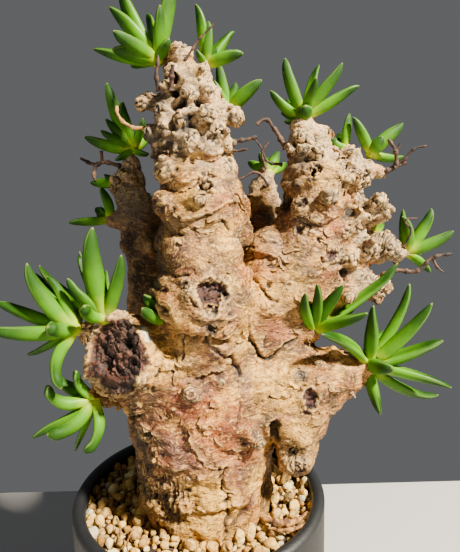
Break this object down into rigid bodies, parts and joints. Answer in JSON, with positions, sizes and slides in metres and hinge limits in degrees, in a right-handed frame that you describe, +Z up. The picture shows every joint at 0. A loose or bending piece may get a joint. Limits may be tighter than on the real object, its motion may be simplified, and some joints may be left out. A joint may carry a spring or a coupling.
{
  "type": "potted caudex plant",
  "caption": "Fat-trunked succulent plant with knobbly upright arms and finger-leaf rosettes, growing in gravel in a plain round straight-sided pot.",
  "frame": {"origin": "centre of the pot's flat underside", "axes": "+Z up the pot's axis and the plant's height, -Y towards the pictured side, +X to the viewer's right"},
  "size_m": [0.1958, 0.1452, 0.3233],
  "materials": {
    "pot": "matt slate black",
    "gravel": "dry loose gravel",
    "bark": "rough flaking bark",
    "leaf": "waxy fresh leaf, stood in for by a soft plastic",
    "dry_twig": "dry dark flower stalk"
  },
  "bodies": {
    "root": {"caudex": "bark", "pot": "pot", "rosette_back_low": "leaf", "rosette_back_top": "leaf", "rosette_behind_main": "leaf", "rosette_crotch": "leaf", "rosette_crown_left": "leaf", "rosette_crown_right": "leaf", "rosette_left_back_a": "leaf", "rosette_left_back_b": "leaf", "rosette_left_back_top": "leaf", "rosette_right_far": "leaf", "rosette_right_fork": "leaf", "rosette_right_low": "leaf", "rosette_right_mid_in": "leaf", "rosette_right_top": "leaf", "rosette_right_upper": "leaf", "rosette_right_upper_in": "leaf", "rosette_stub_left": "leaf", "rosette_stub_low": "leaf", "rosette_stub_upper": "leaf", "substrate": "gravel", "twig_crown": "dry_twig", "twig_inner": "dry_twig", "twig_left": "dry_twig", "twig_right_low": "dry_twig", "twig_right_upper": "dry_twig"}
  },
  "joints": []
}
